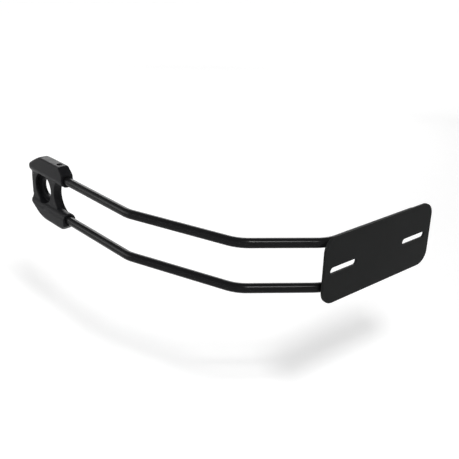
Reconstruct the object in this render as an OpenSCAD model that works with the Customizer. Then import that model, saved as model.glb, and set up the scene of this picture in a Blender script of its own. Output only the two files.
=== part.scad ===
// Side mount license plate holder: a block that sits on the wheel axle, two bent rods and a plate.
// The origin is the centre of the axle hole on the block's seat. X runs to the rear, where the
// plate faces, Y runs inwards behind the wheel and Z runs up. All sizes are in millimetres.

/* [Mount block] */
// Width of the two bars, from the seat to their outer sides
block_w = 16; // [14:0.5:20]
// Distance from the axle's centre to the front end
block_front = 26.5; // [24:0.5:34]
// Distance from the axle's centre to the rear end, where the rods leave
block_rear = 54.5; // [50:0.5:70]
// Height of the upper bar's flat top above its rod's axis
upper_height = 15.5; // [12:0.5:18]
// Depth of the lower bar's underside below its rod's axis
lower_depth = 13.5; // [11:0.5:16]
// Radius of the upper bar's long edges
upper_edge_r = 2; // [1:0.25:4]
// Radius of the lower bar's long edges
lower_edge_r = 5.5; // [3:0.5:7]
// How far the bars' sides lean in at the upper bar's flat top
side_lean = 1.2; // [0:0.1:3]
// Radius of the block's front corner on the outer side
nose_r = 7; // [4:0.5:10]
// Radius of the block's front corner at the seat
seat_nose_r = 4; // [1:0.5:6]
// Height of the upper bar's nose at its tip, from the rod's axis
upper_nose_height = 0.5; // [0:0.5:4]
// Distance from the front end to the flat that the upper bar's nose slopes up to
upper_nose_length = 27; // [18:1:36]
// Depth of the lower bar's nose at its tip, from the rod's axis
lower_nose_depth = -3; // [-5:0.5:3]
// Distance from the front end to the level that the lower bar's nose slopes down to
lower_nose_length = 41; // [24:1:44]
// How far the noses' slopes bulge past a straight line
nose_bulge = 0.7; // [0.3:0.1:2]
// Length of the slope at each bar's rear end
end_slope_length = 8; // [4:0.5:12]
// Height of the rear end faces above the rods' axes
end_height = 7; // [6.5:0.5:9]

/* [Web and axle opening] */
// Thickness of the web round the axle hole
web_t = 10.5; // [8:0.5:12]
// Radius of the hollow rounds between the web and the bars
blend_r = 4; // [2:0.5:8]
// Diameter of the axle hole
axle_hole_d = 21.5; // [16:0.5:26]
// Diameter of the recess for the axle's nut
recess_d = 36; // [30:0.5:37]
// Depth of the recess in the web
recess_depth = 6.2; // [3:0.1:7]
// Distance from the axle's centre to the web's rear edge at the waist
waist_x = 25.8; // [23:0.1:30]
// Radius of the waist
waist_r = 22; // [18:0.5:24]

/* [Rods] */
// Diameter of the rods
rod_d = 10; // [8:0.5:11]
// Distance between the two rods' axes
rod_gap = 48; // [46:0.5:56]
// Depth of the sockets that the rods sit in
socket_depth = 30; // [20:1:32]
// Clearance round a rod in its socket
socket_clearance = 0.1; // [0.05:0.05:0.3]
// Distance from the block to the corner of the first bend
run_1 = 121.5; // [80:0.5:200]
// Distance between the corners of the first and second bends
run_2 = 130; // [80:1:200]
// Distance between the corners of the second and third bends
run_3 = 86.5; // [50:0.5:150]
// Length of the rods' tails behind the plate, from the corner of the third bend
tail_length = 132; // [100:1:150]
// Angle of the first bend
turn_1 = 18.4; // [5:0.1:35]
// Angle of the second bend
turn_2 = 34.8; // [10:0.1:45]
// Radius of the bends, to the rod's axis
bend_r = 35; // [20:1:50]
// Chamfer on the rods' ends
rod_chamfer = 0.8; // [0.3:0.1:1.5]

/* [Set screws] */
// Diameter of the set screws
screw_d = 6; // [4:0.5:6]
// Distance from the block's rear end to the set screws
screw_back = 16; // [11:0.5:20]
// How deep the set screws sit below the bar's face
screw_sink = 1.2; // [0.5:0.1:2.5]
// Width across the flats of the set screws' sockets
hex_flats = 3; // [2:0.1:3]
// Clearance round a set screw in its hole
screw_clearance = 0.1; // [0.05:0.05:0.2]

/* [Plate] */
// Width of the plate
plate_w = 168; // [150:1:200]
// Height of the plate
plate_h = 71.5; // [68:0.5:100]
// Thickness of the plate
plate_t = 3; // [2:0.5:5]
// Radius of the plate's corners
plate_r = 15; // [5:1:20]
// How far the plate reaches outwards past the corner of the third bend
plate_lead = 11.5; // [8:0.5:25]
// How far the plate's centre lies below the middle of the two rods
plate_drop = 2.8; // [0:0.1:3]
// Distance from the plate's ends to the slots
slot_margin = 8.75; // [5:0.25:20]
// Length of a slot from end to end
slot_length = 38.5; // [20:0.5:45]
// Width of a slot
slot_w = 6.8; // [5:0.1:9]

/* [Welds] */
// Number of welds along each side of a rod
weld_count = 3; // [2:1:4]
// Length of each weld
weld_length = 22; // [12:1:24]
// Width of a weld on the plate, from the rod's axis
weld_reach = 7; // [6.5:0.1:8]

/* [Hidden] */
$fn = 96;
overlap = 1;

// How much thicker the rods are in their bends, and how far the straight runs reach into them
bend_swell = 0.04;
bend_lap = 0.3;
// How far a round on the block passes the flat or round faces that it joins
round_lap = 0.03;
// Gap between the rods and the plate's back, which the welds close
weld_gap = 0.05;
// Height above a rod's axis at which its welds start in that gap
weld_root = 1;

bar_r = block_w / 2;
rod_y = -bar_r;
rod_z = rod_gap / 2;
socket_end = block_rear - socket_depth;
screw_x = block_rear - screw_back;

// The third bend brings the rods parallel to the plate
turn_3 = 90 - turn_1 - turn_2;
turns = [turn_1, turn_2, turn_3];
runs = [socket_depth + run_1, run_2, run_3, tail_length];

// Length that a bend of this angle takes from the run on each side of its corner
function bend_take(turn) = bend_r * tan(turn / 2);

// Corner of the third bend, where the tails and the plate are set from
third_corner = corner(len(turns));
plate_back = third_corner.x + rod_d / 2 + weld_gap;
plate_near = third_corner.y - plate_lead;
plate_mid = [plate_near + plate_w / 2, -plate_drop];
slot_spacing = plate_w - 2 * slot_margin - slot_length;
tail_start = third_corner.y + bend_take(turn_3);
tail_end = third_corner.y + tail_length;

// Lays an outline drawn in X and Z flat on the seat, with its thickness towards the outer side
module from_seat(thickness) {
    rotate([90, 0, 0])
        linear_extrude(thickness)
            children();
}

// Runs a cross section drawn in Y and Z along the block, from its front end to its rear end
module along_block() {
    translate([-block_front, 0, 0])
        rotate([90, 0, 90])
            linear_extrude(block_front + block_rear)
                children();
}

// Cross section of the upper bar: round below its rod, with leaning sides, rounded edges and a flat top
module upper_section() {
    lean = atan(side_lean / upper_height);
    edge_y = upper_height - upper_edge_r;
    edge_x = bar_r - side_lean * edge_y / upper_height - upper_edge_r / cos(lean);
    side_x = edge_x + upper_edge_r * cos(lean);
    side_y = edge_y + upper_edge_r * sin(lean);
    circle(r = bar_r);
    polygon([
        [-bar_r, 0],
        [bar_r, 0],
        [side_x, side_y],
        [edge_x, upper_height],
        [-edge_x, upper_height],
        [-side_x, side_y]
    ]);
    for (side = [-1, 1])
        translate([side * edge_x, edge_y])
            circle(r = upper_edge_r + round_lap);
}

// Cross section of the lower bar, upside down: round towards the web, with two rounded edges
module lower_section() {
    circle(r = bar_r);
    translate([-bar_r, 0])
        square([block_w, lower_depth - lower_edge_r]);
    translate([lower_edge_r - bar_r, 0])
        square([block_w - 2 * lower_edge_r, lower_depth]);
    for (side = [-1, 1])
        translate([side * (bar_r - lower_edge_r), lower_depth - lower_edge_r])
            circle(r = lower_edge_r);
}

// Side view of a bar from its rod's axis outwards, with a slope at its rear end
module bar_profile(height) {
    polygon([
        [-block_front, -bar_r],
        [block_rear, -bar_r],
        [block_rear, end_height],
        [block_rear - end_slope_length, height],
        [-block_front, height]
    ]);
}

// Side view of all that a nose leaves standing, from its rod's axis: it slopes up from the tip to
// the bar's full height in a low bulge
module nose_profile(height, tip, slope_length) {
    rise = height - tip;
    chord = norm([slope_length, rise]);
    slope_r = (chord * chord / 4 + nose_bulge * nose_bulge) / (2 * nose_bulge);
    translate([-block_front, tip])
        rotate(atan2(rise, slope_length))
            translate([chord / 2, nose_bulge - slope_r])
                circle(r = slope_r, $fn = 360);
    translate([slope_length - block_front + overlap, -2 * rod_gap])
        square([block_front + block_rear, 3 * rod_gap]);
}

// Plan of the block from above, rounded at its two front corners
module block_plan() {
    outer_x = nose_r - block_front - round_lap;
    outer_y = nose_r - block_w - round_lap;
    seat_x = seat_nose_r - block_front - round_lap;
    seat_y = round_lap - seat_nose_r;
    translate([outer_x, -2 * block_w])
        square([block_front + block_rear, 2 * block_w + seat_y]);
    translate([seat_x, seat_y - nose_r])
        square([block_front + block_rear, 2 * nose_r]);
    translate([-2 * block_front, outer_y])
        square([2 * block_front + block_rear, seat_y - outer_y]);
    translate([outer_x, outer_y])
        circle(r = nose_r);
    translate([seat_x, seat_y])
        circle(r = seat_nose_r);
}

// One bar of the block with its rod's axis at height zero, growing upwards from it
module bar(height) {
    intersection() {
        translate([0, rod_y, 0])
            along_block()
                children();
        translate([0, overlap, 0])
            from_seat(block_w + 2 * overlap)
                bar_profile(height);
    }
}

// Cross section of the hollow round between the web's outer face and the round of a bar
module blend_section() {
    face = web_t - bar_r;
    reach = bar_r + blend_r;
    drop = sqrt(reach * reach - pow(face + blend_r, 2));
    difference() {
        polygon([
            [0, 0],
            [-bar_r * (face + blend_r) / reach, -bar_r * drop / reach],
            [-face, -drop],
            [0, -drop]
        ]);
        translate([-face - blend_r, -drop])
            circle(r = blend_r + round_lap);
    }
}

// The web that joins the bars, with its hollow rounds, cut back in a round at its rear
module web() {
    difference() {
        union() {
            from_seat(web_t)
                translate([-block_front, -rod_z])
                    square([block_front + block_rear, rod_gap]);
            for (up = [0, 1])
                mirror([0, 0, up])
                    translate([0, rod_y, rod_z])
                        along_block()
                            blend_section();
        }
        translate([0, overlap, 0])
            from_seat(block_w + 2 * overlap) {
                translate([waist_x + waist_r, 0])
                    circle(r = waist_r);
                translate([waist_x + waist_r, -waist_r])
                    square([block_rear, 2 * waist_r]);
            }
    }
}

// The stepped axle hole: a recess from the outer side and a through hole
module axle_opening() {
    rotate([90, 0, 0])
        translate([0, 0, -overlap])
            cylinder(d = axle_hole_d, h = web_t + 2 * overlap);
    translate([0, recess_depth - web_t, 0])
        rotate([90, 0, 0])
            cylinder(d = recess_d, h = block_w);
}

// The blind socket of a rod, at its axis
module rod_socket() {
    translate([socket_end, rod_y, 0])
        rotate([0, 90, 0])
            cylinder(d = rod_d + 2 * socket_clearance, h = socket_depth + overlap);
}

// The tapped hole of a set screw, from a bar's face down into the rod's socket
module screw_hole(height) {
    translate([screw_x, rod_y, 0])
        cylinder(d = screw_d + 2 * screw_clearance, h = height + overlap);
}

// The two bars and the web, with their noses, rounded at the front as seen from above
module block_body() {
    intersection() {
        union() {
            web();
            translate([0, 0, rod_z])
                bar(upper_height)
                    upper_section();
            translate([0, 0, -rod_z])
                mirror([0, 0, 1])
                    bar(lower_depth)
                        lower_section();
        }
        translate([0, overlap, 0])
            from_seat(block_w + 2 * overlap)
                intersection() {
                    translate([0, rod_z])
                        nose_profile(upper_height, upper_nose_height, upper_nose_length);
                    translate([0, -rod_z])
                        mirror([0, 1])
                            nose_profile(lower_depth, lower_nose_depth, lower_nose_length);
                }
        translate([0, 0, -rod_gap])
            linear_extrude(2 * rod_gap)
                block_plan();
    }
}

module mount_block() {
    color("dimgray")
        difference() {
            block_body();
            axle_opening();
            translate([0, 0, rod_z]) {
                rod_socket();
                screw_hole(upper_height);
            }
            translate([0, 0, -rod_z])
                mirror([0, 0, 1]) {
                    rod_socket();
                    screw_hole(lower_depth);
                }
        }
}

// Angle between a straight run of a rod and the X axis
function heading(run) = run == 0 ? 0 : heading(run - 1) + turns[run - 1];

// Point in plan where a run's centre line meets the one before it
function corner(run) =
    run == 0
        ? [socket_end, rod_y]
        : corner(run - 1) + runs[run - 1] * [cos(heading(run - 1)), sin(heading(run - 1))];

// A straight length of rod along X with a chamfer at its far end
module chamfered_length(length) {
    end_r = rod_d / 2 - rod_chamfer;
    rotate([0, 90, 0])
        rotate_extrude()
            polygon([
                [0, 0],
                [rod_d / 2, 0],
                [rod_d / 2, length - rod_chamfer],
                [end_r, length],
                [0, length]
            ]);
}

// One straight run, up to the bends at its ends and a little way into them
module straight_run(run) {
    start = run == 0 ? 0 : bend_take(turns[run - 1]) - bend_lap;
    end = run == len(turns) ? runs[run] : runs[run] - bend_take(turns[run]) + bend_lap;
    translate(corner(run))
        rotate(heading(run)) {
            if (run == 0)
                translate([end, 0, 0])
                    rotate(180)
                        chamfered_length(end);
            else if (run == len(turns))
                translate([start, 0, 0])
                    chamfered_length(end - start);
            else
                translate([start, 0, 0])
                    rotate([0, 90, 0])
                        cylinder(d = rod_d, h = end - start);
        }
}

// One bend, between a run and the next
module bend(run) {
    translate(corner(run + 1))
        rotate(heading(run))
            translate([-bend_take(turns[run]), bend_r, 0])
                rotate(-90)
                    rotate_extrude(angle = turns[run])
                        translate([bend_r, 0])
                            circle(d = rod_d + bend_swell);
}

// One rod with its axis at height zero, from the bottom of its socket to its end behind the plate
module rod() {
    for (run = [0 : len(turns)])
        straight_run(run);
    for (run = [0 : len(turns) - 1])
        bend(run);
}

module upper_rod() {
    color([0.12, 0.12, 0.13])
        translate([0, 0, rod_z])
            rod();
}

module lower_rod() {
    color([0.12, 0.12, 0.13])
        translate([0, 0, -rod_z])
            rod();
}

// Outline of the plate, from its centre
module plate_outline() {
    square([plate_w - 2 * plate_r, plate_h], center = true);
    square([plate_w, plate_h - 2 * plate_r], center = true);
    for (x = [-1, 1], y = [-1, 1])
        translate([x * (plate_w / 2 - plate_r), y * (plate_h / 2 - plate_r)])
            circle(r = plate_r);
}

// Outline of a slot, from its centre
module slot_outline() {
    straight = slot_length - slot_w;
    square([straight, slot_w], center = true);
    for (side = [-1, 1])
        translate([side * straight / 2, 0])
            circle(d = slot_w);
}

module plate() {
    color([0.16, 0.16, 0.17])
        translate([plate_back, plate_mid.x, plate_mid.y])
            rotate([90, 0, 90])
                linear_extrude(plate_t)
                    difference() {
                        plate_outline();
                        for (side = [-1, 1])
                            translate([side * slot_spacing / 2, 0])
                                slot_outline();
                    }
}

// A set screw that rests on its rod, with a hexagon socket in its outer end
module set_screw(height) {
    length = height - screw_sink - rod_d / 2;
    hex_depth = length / 3;
    cone = screw_d / 6;
    translate([screw_x, rod_y, rod_d / 2])
        difference() {
            union() {
                cylinder(d1 = screw_d - 2 * cone, d2 = screw_d, h = cone);
                translate([0, 0, cone])
                    cylinder(d = screw_d, h = length - cone);
            }
            translate([0, 0, length - hex_depth])
                cylinder(d = hex_flats / cos(30), h = hex_depth + overlap, $fn = 6);
        }
}

module upper_set_screw() {
    color("black")
        translate([0, 0, rod_z])
            set_screw(upper_height);
}

module lower_set_screw() {
    color("black")
        translate([0, 0, -rod_z])
            mirror([0, 0, 1])
                set_screw(lower_depth);
}

// Cross section of a weld above a rod: it fills the corner between the rod and the plate
module weld_section() {
    difference() {
        polygon([
            [0, weld_root],
            [0, weld_reach],
            [-rod_d / 2, rod_d / 2]
        ]);
        translate([-rod_d / 2 - weld_gap, 0])
            circle(d = rod_d);
    }
}

// The welds of one rod, spaced evenly along its straight tail, above and below it
module rod_welds() {
    spare = tail_end - tail_start - weld_count * weld_length;
    step = weld_length + spare / weld_count;
    for (i = [0 : weld_count - 1], up = [0, 1])
        translate([plate_back, tail_start + spare / weld_count / 2 + i * step, 0])
            mirror([0, 0, up])
                rotate([-90, 0, 0])
                    mirror([0, 1, 0])
                        linear_extrude(weld_length)
                            weld_section();
}

module upper_welds() {
    color([0.14, 0.14, 0.15])
        translate([0, 0, rod_z])
            rod_welds();
}

module lower_welds() {
    color([0.14, 0.14, 0.15])
        translate([0, 0, -rod_z])
            rod_welds();
}

mount_block();
upper_rod();
lower_rod();
plate();
upper_set_screw();
lower_set_screw();
upper_welds();
lower_welds();
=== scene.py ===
from math import cos, radians, sin, tan

import bpy
from mathutils import Matrix, Vector


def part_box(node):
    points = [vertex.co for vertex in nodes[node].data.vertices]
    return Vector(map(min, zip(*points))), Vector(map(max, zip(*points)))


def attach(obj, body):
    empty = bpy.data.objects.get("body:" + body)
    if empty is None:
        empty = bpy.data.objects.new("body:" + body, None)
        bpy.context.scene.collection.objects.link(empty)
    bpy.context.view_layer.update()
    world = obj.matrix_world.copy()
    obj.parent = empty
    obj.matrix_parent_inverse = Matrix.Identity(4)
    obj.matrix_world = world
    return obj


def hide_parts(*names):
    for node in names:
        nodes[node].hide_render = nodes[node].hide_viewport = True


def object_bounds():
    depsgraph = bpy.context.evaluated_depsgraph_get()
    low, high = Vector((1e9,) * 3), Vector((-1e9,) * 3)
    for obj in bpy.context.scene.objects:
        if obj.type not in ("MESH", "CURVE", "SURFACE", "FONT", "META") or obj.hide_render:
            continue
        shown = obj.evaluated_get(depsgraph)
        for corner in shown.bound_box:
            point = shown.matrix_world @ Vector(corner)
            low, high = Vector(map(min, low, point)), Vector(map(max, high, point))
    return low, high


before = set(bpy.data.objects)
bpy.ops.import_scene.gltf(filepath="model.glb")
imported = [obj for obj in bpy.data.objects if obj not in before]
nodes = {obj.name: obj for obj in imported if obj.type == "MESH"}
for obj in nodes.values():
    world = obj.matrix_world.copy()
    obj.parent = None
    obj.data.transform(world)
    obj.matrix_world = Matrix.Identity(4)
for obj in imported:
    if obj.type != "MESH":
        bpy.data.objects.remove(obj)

cad_low, cad_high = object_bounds()
centre = (cad_low + cad_high) / 2
MM = 0.001

# Camera: where the photograph was taken from, and how it was turned
CAMERA_PLACE = Vector((0.78105, -0.40944, 0.31847))
CAMERA_AZIMUTH = 48.18
CAMERA_ELEVATION = 23.235
CAMERA_ROLL = 1.873
CAMERA_LENS_MM = 59.61
CAMERA_NEAR = 0.01
SENSOR_MM = 36

# Studio: a round white backdrop with a floor below the holder, and lamps inside it
FLOOR_DROP = 0.16
BACKDROP_R = 4.0
BACKDROP_HEIGHT = 2.6
BACKDROP_SIDES = 96
COVE_R = 0.8
COVE_STEPS = 10
BOARD_COLOUR = "#F0F0F0"
# The lamps light the board less far out, so the white that it shows by itself rises there:
# it starts and ends to rise at these distances from the backdrop's middle
GLOW_STARTS = 1.85
GLOW_FULL = 2.3
GLOW_NEAR = 0.31
GLOW_FAR = 0.72
WHITE = "#FFFFFF"
ROOM_LEVEL = 0.3
# Each lamp's name, place, width and height, and watts
LAMPS = (
    ("overhead", (1.06, -0.30, 1.14), (0.26, 0.26), 12),
    ("behind", (-1.0, 1.0, 0.62), (1.2, 0.5), 8),
    ("side", (-0.9, -1.2, 0.5), (1.0, 0.8), 10),
)

# Copies of the bare solids: points closer than this are joined, and so are faces flatter than this
SAME_POINT = 1e-6
SAME_FLAT = radians(0.5)

# Edges sharper than the first are rounded, and then those sharper than the second stay crisp
SHARP_EDGE = radians(30)
CRISP_EDGE = radians(40)
# How far the edges of the plate and of the set screws are rounded
PLATE_EDGE = 0.5 * MM
SCREW_EDGE = 0.15 * MM

# Mount block: an even net, smoothed until its edges are as soft as those of a tumbled casting
BLOCK_NET = 0.4 * MM
EDGE_PASSES = 14
# The two noses are softer still: how far back from the tip, and over what length that fades
NOSE_PASSES = 170
NOSE_LENGTH = 20 * MM
NOSE_FADE = 9 * MM
# The upper one's crest is soft further back, and the web between them keeps its edges
CREST_START = 26 * MM
CREST_FADE = 5 * MM
CREST_LENGTH = 14 * MM
WEB_HALF = 11 * MM
WEB_FADE = 7 * MM
# The lower bar's heel, its corner behind and below, gets a share of that: how far in and down
HEEL_LENGTH = 12 * MM
HEEL_TOP = 30 * MM
HEEL_FADE = 3 * MM
HEEL_SHARE = 0.8
# The share of the net's faces that the smooth shape still needs
BLOCK_KEPT = 0.6

# Rods: the straight lengths between the corners of their path, and the turns at those corners
ROD_R = 5 * MM
ROD_Y = -8 * MM
ROD_RUNS = (151.5 * MM, 130 * MM, 86.5 * MM, 132 * MM)
ROD_TURNS = (radians(18.4), radians(34.8), radians(36.8))
BEND_R = 35 * MM
BEND_STEPS = 24
ROD_CHAMFER = 0.8 * MM
ROD_SIDES = 48

# Weld beads: three above and three below each rod's tail
BEADS_A_SIDE = 3
BEAD_LENGTH = 22 * MM
BEAD_R = 2.6 * MM
BEAD_SIDES = 14
BEAD_END = 0.75 * BEAD_R
BEAD_END_STEPS = 3
# The ripples across a bead: how many, how deep, and the share of its length that has them
BEAD_RIPPLES = 11
BEAD_RIPPLE = 0.9 * MM
BEAD_RIPPLED = 0.82
# A bead's line in its corner: this far from the plate's back, and above or below the rod's middle
BEAD_OFF_PLATE = 1.7 * MM
BEAD_OFF_ROD = 5.2 * MM
SAME_RING = 0.01 * MM


def srgb(hex_colour):
    """An sRGB hex colour as the linear RGBA that a shader takes."""
    channels = [int(hex_colour[i:i + 2], 16) / 255 for i in (1, 3, 5)]
    linear = [c / 12.92 if c <= 0.04045 else ((c + 0.055) / 1.055) ** 2.4 for c in channels]
    return (*linear, 1.0)


def add_node(tree, kind, settings=None, inputs=None, links=None):
    """Adds one shader node, with its settings, its fixed inputs and the sockets that feed it."""
    node = tree.nodes.new(kind)
    for key, value in (settings or {}).items():
        setattr(node, key, value)
    for key, value in (inputs or {}).items():
        node.inputs[key].default_value = value
    for key, socket in (links or {}).items():
        tree.links.new(socket, node.inputs[key])
    return node


def new_material(name):
    """A material with nothing but its output node, and its tree."""
    material = bpy.data.materials.new(name)
    material.use_nodes = True
    tree = material.node_tree
    tree.nodes.clear()
    output = add_node(tree, "ShaderNodeOutputMaterial")
    return material, tree, output


def black_coat(
    name, darker, lighter, roughness, roughness_spread, specular,
    grain_mm, grain_depth_mm, patch_mm,
):
    """A thin black coat on metal: fine grain in relief, and broad patches lighter and duller."""
    material, tree, output = new_material(name)
    place = add_node(tree, "ShaderNodeTexCoord").outputs["Object"]
    grain = add_node(
        tree, "ShaderNodeTexNoise",
        inputs={"Scale": 1 / (grain_mm * MM), "Detail": 2.0, "Roughness": 0.5},
        links={"Vector": place},
    )
    patches = add_node(
        tree, "ShaderNodeTexNoise",
        inputs={"Scale": 1 / (patch_mm * MM), "Detail": 3.0, "Roughness": 0.55},
        links={"Vector": place},
    )
    tone = add_node(
        tree, "ShaderNodeMix", settings={"data_type": "RGBA"},
        inputs={"A": srgb(darker), "B": srgb(lighter)},
        links={"Factor": patches.outputs["Fac"]},
    )
    dullness = add_node(
        tree, "ShaderNodeMapRange",
        inputs={"To Min": roughness - roughness_spread, "To Max": roughness + roughness_spread},
        links={"Value": patches.outputs["Fac"]},
    )
    relief = add_node(
        tree, "ShaderNodeBump",
        inputs={"Strength": 1.0, "Distance": grain_depth_mm * MM},
        links={"Height": grain.outputs["Fac"]},
    )
    shader = add_node(
        tree, "ShaderNodeBsdfPrincipled",
        inputs={"Metallic": 0.0, "Specular IOR Level": specular},
        links={
            "Base Color": tone.outputs["Result"],
            "Roughness": dullness.outputs["Result"],
            "Normal": relief.outputs["Normal"],
        },
    )
    tree.links.new(shader.outputs["BSDF"], output.inputs["Surface"])
    return material


def paint(piece, material):
    """Gives a piece one material all over."""
    piece.data.materials.clear()
    piece.data.materials.append(material)


def select_only(piece):
    """Makes one piece the only one that an operator acts on."""
    bpy.ops.object.select_all(action="DESELECT")
    piece.select_set(True)
    bpy.context.view_layer.objects.active = piece


def select_parts(piece, kind, wanted):
    """Selects the points, edges or faces whose middle is wanted, and stays in edit mode."""
    select_only(piece)
    bpy.ops.object.mode_set(mode="EDIT")
    bpy.ops.mesh.select_mode(type=kind)
    bpy.ops.mesh.select_all(action="DESELECT")
    bpy.ops.object.mode_set(mode="OBJECT")
    mesh = piece.data
    for part in {"VERT": mesh.vertices, "EDGE": mesh.edges, "FACE": mesh.polygons}[kind]:
        corners = [part.index] if kind == "VERT" else part.vertices
        middle = sum((mesh.vertices[i].co for i in corners), Vector()) / len(corners)
        part.select = wanted(middle)
    bpy.ops.object.mode_set(mode="EDIT")


def apply_modifier(piece, kind, **settings):
    """Gives a piece one modifier with its settings, and applies it."""
    select_only(piece)
    modifier = piece.modifiers.new(kind.lower(), kind)
    for key, value in settings.items():
        setattr(modifier, key, value)
    bpy.ops.object.modifier_apply(modifier=modifier.name)


def merged_copy(node, piece_name):
    """A copy of a bare solid's mesh, with its loose triangles joined and its flats made whole."""
    piece = bpy.data.objects.new(piece_name, nodes[node].data.copy())
    bpy.context.scene.collection.objects.link(piece)
    select_only(piece)
    bpy.ops.mesh.customdata_custom_splitnormals_clear()
    bpy.ops.object.mode_set(mode="EDIT")
    bpy.ops.mesh.select_all(action="SELECT")
    bpy.ops.mesh.remove_doubles(threshold=SAME_POINT)
    bpy.ops.mesh.dissolve_limited(angle_limit=SAME_FLAT)
    bpy.ops.object.mode_set(mode="OBJECT")
    return piece


def round_edges(piece, radius, segments):
    """Rounds a piece's sharp edges, and shades it so that its flats stay flat."""
    apply_modifier(
        piece, "BEVEL",
        width=radius, segments=segments, limit_method="ANGLE", angle_limit=SHARP_EDGE,
    )
    bpy.ops.object.shade_smooth_by_angle(angle=CRISP_EDGE)
    apply_modifier(piece, "WEIGHTED_NORMAL", keep_sharp=True)


def make_camera():
    """The camera at the photograph's place and angle."""
    data = bpy.data.cameras.new("camera")
    data.lens = CAMERA_LENS_MM
    data.sensor_width = SENSOR_MM
    data.clip_start = CAMERA_NEAR
    camera = bpy.data.objects.new("camera", data)
    bpy.context.scene.collection.objects.link(camera)
    turn = (
        Matrix.Rotation(radians(CAMERA_AZIMUTH), 4, "Z")
        @ Matrix.Rotation(radians(90 - CAMERA_ELEVATION), 4, "X")
        @ Matrix.Rotation(radians(CAMERA_ROLL), 4, "Z")
    )
    camera.matrix_world = Matrix.Translation(CAMERA_PLACE) @ turn
    bpy.context.scene.camera = camera


def backdrop_material():
    """Matt white board: it takes shadows, and shows white in the picture and in reflections."""
    material, tree, output = new_material("matt white backdrop board")
    board = add_node(tree, "ShaderNodeBsdfDiffuse", inputs={"Color": srgb(BOARD_COLOUR)})
    path = add_node(tree, "ShaderNodeLightPath")
    seen_or_mirrored = add_node(
        tree, "ShaderNodeMath", settings={"operation": "MAXIMUM"},
        links={0: path.outputs["Is Camera Ray"], 1: path.outputs["Is Glossy Ray"]},
    )
    shown = add_node(
        tree, "ShaderNodeMath", settings={"operation": "MAXIMUM"},
        links={0: seen_or_mirrored.outputs["Value"], 1: path.outputs["Is Transmission Ray"]},
    )
    place = add_node(tree, "ShaderNodeTexCoord").outputs["Object"]
    distance = add_node(
        tree, "ShaderNodeVectorMath", settings={"operation": "LENGTH"},
        links={0: place},
    )
    white = add_node(
        tree, "ShaderNodeMapRange",
        inputs={
            "From Min": GLOW_STARTS, "From Max": GLOW_FULL, "To Min": GLOW_NEAR, "To Max": GLOW_FAR,
        },
        links={"Value": distance.outputs["Value"]},
    )
    strength = add_node(
        tree, "ShaderNodeMath", settings={"operation": "MULTIPLY"},
        links={0: white.outputs["Result"], 1: shown.outputs["Value"]},
    )
    glow = add_node(
        tree, "ShaderNodeEmission", inputs={"Color": srgb(WHITE)},
        links={"Strength": strength.outputs["Value"]},
    )
    both = add_node(
        tree, "ShaderNodeAddShader",
        links={0: board.outputs["BSDF"], 1: glow.outputs["Emission"]},
    )
    tree.links.new(both.outputs["Shader"], output.inputs["Surface"])
    return material


def make_backdrop():
    """The floor and the wall round it, in one sweep with a cove between them."""
    half = BACKDROP_HEIGHT / 2
    bpy.ops.object.select_all(action="DESELECT")
    bpy.ops.mesh.primitive_cylinder_add(
        vertices=BACKDROP_SIDES, radius=BACKDROP_R, depth=BACKDROP_HEIGHT,
        location=(centre.x, centre.y, cad_low.z - FLOOR_DROP + half),
    )
    backdrop = bpy.context.object
    backdrop.name = "backdrop"
    select_parts(backdrop, "FACE", lambda middle: middle.z > half - MM)
    bpy.ops.mesh.delete(type="FACE")
    bpy.ops.object.mode_set(mode="OBJECT")
    select_parts(backdrop, "FACE", lambda middle: middle.z < MM - half)
    bpy.ops.mesh.region_to_loop()
    bpy.ops.mesh.bevel(offset=COVE_R, segments=COVE_STEPS)
    bpy.ops.object.mode_set(mode="OBJECT")
    bpy.ops.object.shade_smooth()
    paint(backdrop, backdrop_material())


def area_lamp(name, place, size, watts):
    """A soft lamp that looks at the holder's middle."""
    data = bpy.data.lights.new(name, "AREA")
    data.shape = "RECTANGLE"
    data.size, data.size_y = size
    data.energy = watts
    lamp = bpy.data.objects.new(name, data)
    lamp.visible_camera = False
    bpy.context.scene.collection.objects.link(lamp)
    turn = (centre - Vector(place)).to_track_quat("-Z", "Y").to_matrix().to_4x4()
    lamp.matrix_world = Matrix.Translation(place) @ turn


def make_lights():
    """A dim room with three soft lamps: overhead, low behind the holder, and at its outer side."""
    world = bpy.data.worlds.new("dim room")
    bpy.context.scene.world = world
    world.use_nodes = True
    room = world.node_tree.nodes["Background"]
    room.inputs["Color"].default_value = srgb(WHITE)
    room.inputs["Strength"].default_value = ROOM_LEVEL
    for name, place, size, watts in LAMPS:
        area_lamp(name, place, size, watts)


def extra_softness(place, tip, rear):
    """The share of the second smoothing for a place on the block: 1 is all, 0 and less none."""
    crest = min(max((place.z - CREST_START) / CREST_FADE, 0), 1)
    nose = min(
        (tip + NOSE_LENGTH + crest * CREST_LENGTH - place.x) / NOSE_FADE,
        (abs(place.z) - WEB_HALF) / WEB_FADE,
        1,
    )
    heel = min(
        (place.x - (rear - HEEL_LENGTH)) / HEEL_FADE,
        (-HEEL_TOP - place.z) / HEEL_FADE,
        HEEL_SHARE,
    )
    return max(nose, heel)


def make_block():
    """The mount block, with the soft edges and the blunt noses of a casting."""
    block = merged_copy("mount_block", "block_body")
    apply_modifier(block, "REMESH", mode="VOXEL", voxel_size=BLOCK_NET)
    apply_modifier(block, "SMOOTH", iterations=EDGE_PASSES)
    tip, rear = (corner.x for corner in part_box("mount_block"))
    softer = block.vertex_groups.new(name="softer")
    for vertex in block.data.vertices:
        share = extra_softness(vertex.co, tip, rear)
        if share > 0:
            softer.add([vertex.index], share, "REPLACE")
    apply_modifier(block, "SMOOTH", iterations=NOSE_PASSES, vertex_group="softer")
    block.vertex_groups.clear()
    apply_modifier(block, "DECIMATE", ratio=BLOCK_KEPT)
    bpy.ops.object.shade_smooth()
    apply_modifier(block, "WEIGHTED_NORMAL")
    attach(block, "root")
    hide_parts("mount_block")
    return block


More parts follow.
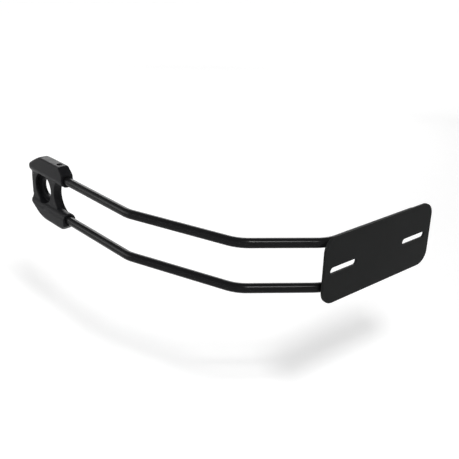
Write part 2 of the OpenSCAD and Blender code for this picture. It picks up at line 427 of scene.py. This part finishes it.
def make_plate():
    """The plate, with the edges that cutting and coating leave soft."""
    plate = merged_copy("plate", "plate_sheet")
    round_edges(plate, PLATE_EDGE, segments=3)
    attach(plate, "root")
    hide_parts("plate")
    return plate


def rod_height(node):
    """The height of a rod's middle."""
    low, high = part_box(node)
    return (low.z + high.z) / 2


def make_rod(node, piece_name):
    """One rod, drawn out along its path: four straight runs with a bend between each two."""
    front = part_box(node)[0].x
    place = Vector((front, ROD_Y, rod_height(node)))
    bpy.ops.object.select_all(action="DESELECT")
    bpy.ops.mesh.primitive_circle_add(
        vertices=ROD_SIDES, radius=ROD_R, fill_type="NGON",
        location=place, rotation=(0, radians(90), 0),
    )
    rod = bpy.context.object
    rod.name = piece_name
    bpy.ops.object.transform_apply(location=True, rotation=True, scale=True)
    bpy.ops.object.mode_set(mode="EDIT")
    bpy.ops.mesh.select_all(action="SELECT")
    # A bend takes the same length from the run before it as from the run after it
    taken = [0, *(BEND_R * tan(turn / 2) for turn in ROD_TURNS), 0]
    heading = 0
    for i, run in enumerate(ROD_RUNS):
        step = (run - taken[i] - taken[i + 1]) * Vector((cos(heading), sin(heading), 0))
        bpy.ops.mesh.extrude_region_move(TRANSFORM_OT_translate={"value": step})
        place = place + step
        if i < len(ROD_TURNS):
            pivot = place + BEND_R * Vector((-sin(heading), cos(heading), 0))
            # With no window, spin turns the other way
            bpy.ops.mesh.spin(
                steps=BEND_STEPS, angle=-ROD_TURNS[i], center=pivot, axis=(0, 0, 1),
            )
            heading += ROD_TURNS[i]
            place = pivot + BEND_R * Vector((sin(heading), -cos(heading), 0))
    bpy.ops.mesh.select_all(action="SELECT")
    bpy.ops.mesh.normals_make_consistent(inside=False)
    bpy.ops.object.mode_set(mode="OBJECT")
    round_edges(rod, ROD_CHAMFER, segments=2)
    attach(rod, "root")
    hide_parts(node)
    return rod


def make_screw(node, piece_name):
    """A set screw with its edges broken."""
    screw = merged_copy(node, piece_name)
    round_edges(screw, SCREW_EDGE, segments=2)
    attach(screw, "root")
    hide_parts(node)
    return screw


def weld_bead():
    """One weld bead along Y at the origin: a round bar with blunt ends and even ripples."""
    half = BEAD_LENGTH / 2
    bpy.ops.object.select_all(action="DESELECT")
    bpy.ops.mesh.primitive_cylinder_add(
        vertices=BEAD_SIDES, radius=BEAD_R, depth=BEAD_LENGTH, rotation=(radians(90), 0, 0),
    )
    bead = bpy.context.object
    bpy.ops.object.transform_apply(location=True, rotation=True, scale=True)
    # The rims of both ends are rounded
    select_parts(bead, "EDGE", lambda middle: abs(abs(middle.y) - half) < SAME_RING)
    bpy.ops.mesh.bevel(offset=BEAD_END, segments=BEAD_END_STEPS)
    bpy.ops.object.mode_set(mode="OBJECT")
    # The edges along the bead are cut into rings, and every second ring is drawn in
    select_parts(bead, "EDGE", lambda middle: abs(middle.y) < SAME_RING)
    bpy.ops.mesh.subdivide(number_cuts=2 * BEAD_RIPPLES - 1)
    bpy.ops.object.mode_set(mode="OBJECT")
    reach = half * BEAD_RIPPLED
    rings = sorted({round(v.co.y, 6) for v in bead.data.vertices if abs(v.co.y) < reach})
    shrink = 1 - BEAD_RIPPLE / BEAD_R
    for ring in rings[1::2]:
        select_parts(bead, "VERT", lambda middle: abs(middle.y - ring) < SAME_RING)
        bpy.ops.transform.resize(value=(shrink, 1, shrink), center_override=(0, ring, 0))
        bpy.ops.object.mode_set(mode="OBJECT")
    apply_modifier(bead, "SUBSURF", levels=1, render_levels=1)
    bpy.ops.object.shade_smooth()
    return bead


def make_welds(node, piece_name, rod, bead):
    """The beads above and below one rod's tail, in the corners between it and the plate."""
    low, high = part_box(node)
    first = low.y + BEAD_LENGTH / 2
    step = (high.y - low.y - BEAD_LENGTH) / (BEADS_A_SIDE - 1)
    beads = []
    for i in range(BEADS_A_SIDE):
        for side in (-1, 1):
            height = rod_height(rod) + side * BEAD_OFF_ROD
            place = Vector((high.x - BEAD_OFF_PLATE, first + i * step, height))
            copy = bpy.data.objects.new(piece_name, bead.data.copy())
            copy.data.transform(Matrix.Translation(place))
            bpy.context.scene.collection.objects.link(copy)
            beads.append(copy)
    select_only(beads[0])
    for copy in beads[1:]:
        copy.select_set(True)
    bpy.ops.object.join()
    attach(beads[0], "root")
    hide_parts(node)
    return beads[0]


make_camera()
make_backdrop()
make_lights()

# Bead blasted and dyed: a deep, even black with a soft sheen. The blasting's grain is about
# 0.1 mm, too fine to show, and is drawn at 1 mm
anodised = black_coat(
    "black anodised aluminium", "#111113", "#1D1D1F",
    roughness=0.4, roughness_spread=0.07, specular=0.075,
    grain_mm=1.0, grain_depth_mm=0.05, patch_mm=9,
)
# Sprayed and baked on sheet: a flatter black with a faint ripple, 2 mm across as on the real one
coated_sheet = black_coat(
    "black powder coated steel sheet", "#1D1E1E", "#232424",
    roughness=0.44, roughness_spread=0.04, specular=0.035,
    grain_mm=2.0, grain_depth_mm=0.03, patch_mm=40,
)
# The same coat on drawn bar: it flows out smoother, so lamps show in it as streaks
coated_bar = black_coat(
    "black powder coated steel bar", "#151516", "#1A1A1B",
    roughness=0.2, roughness_spread=0.03, specular=0.07,
    grain_mm=1.6, grain_depth_mm=0.01, patch_mm=30,
)
# Chemically blackened steel: a thin oily black. Its grain is too fine to show, and is drawn coarser
oxide = black_coat(
    "black oxide steel", "#0E0E0F", "#151515",
    roughness=0.35, roughness_spread=0.05, specular=0.5,
    grain_mm=0.6, grain_depth_mm=0.01, patch_mm=3,
)

paint(make_block(), anodised)
paint(make_plate(), coated_sheet)
for name in ("upper", "lower"):
    paint(make_rod(name + "_rod", name + "_bent_bar"), coated_bar)
    paint(make_screw(name + "_set_screw", name + "_grub_screw"), oxide)
bead = weld_bead()
for name in ("upper", "lower"):
    welds = make_welds(name + "_welds", name + "_weld_beads", name + "_rod", bead)
    paint(welds, coated_sheet)
bpy.data.objects.remove(bead)

bpy.context.scene.view_settings.view_transform = "Standard"
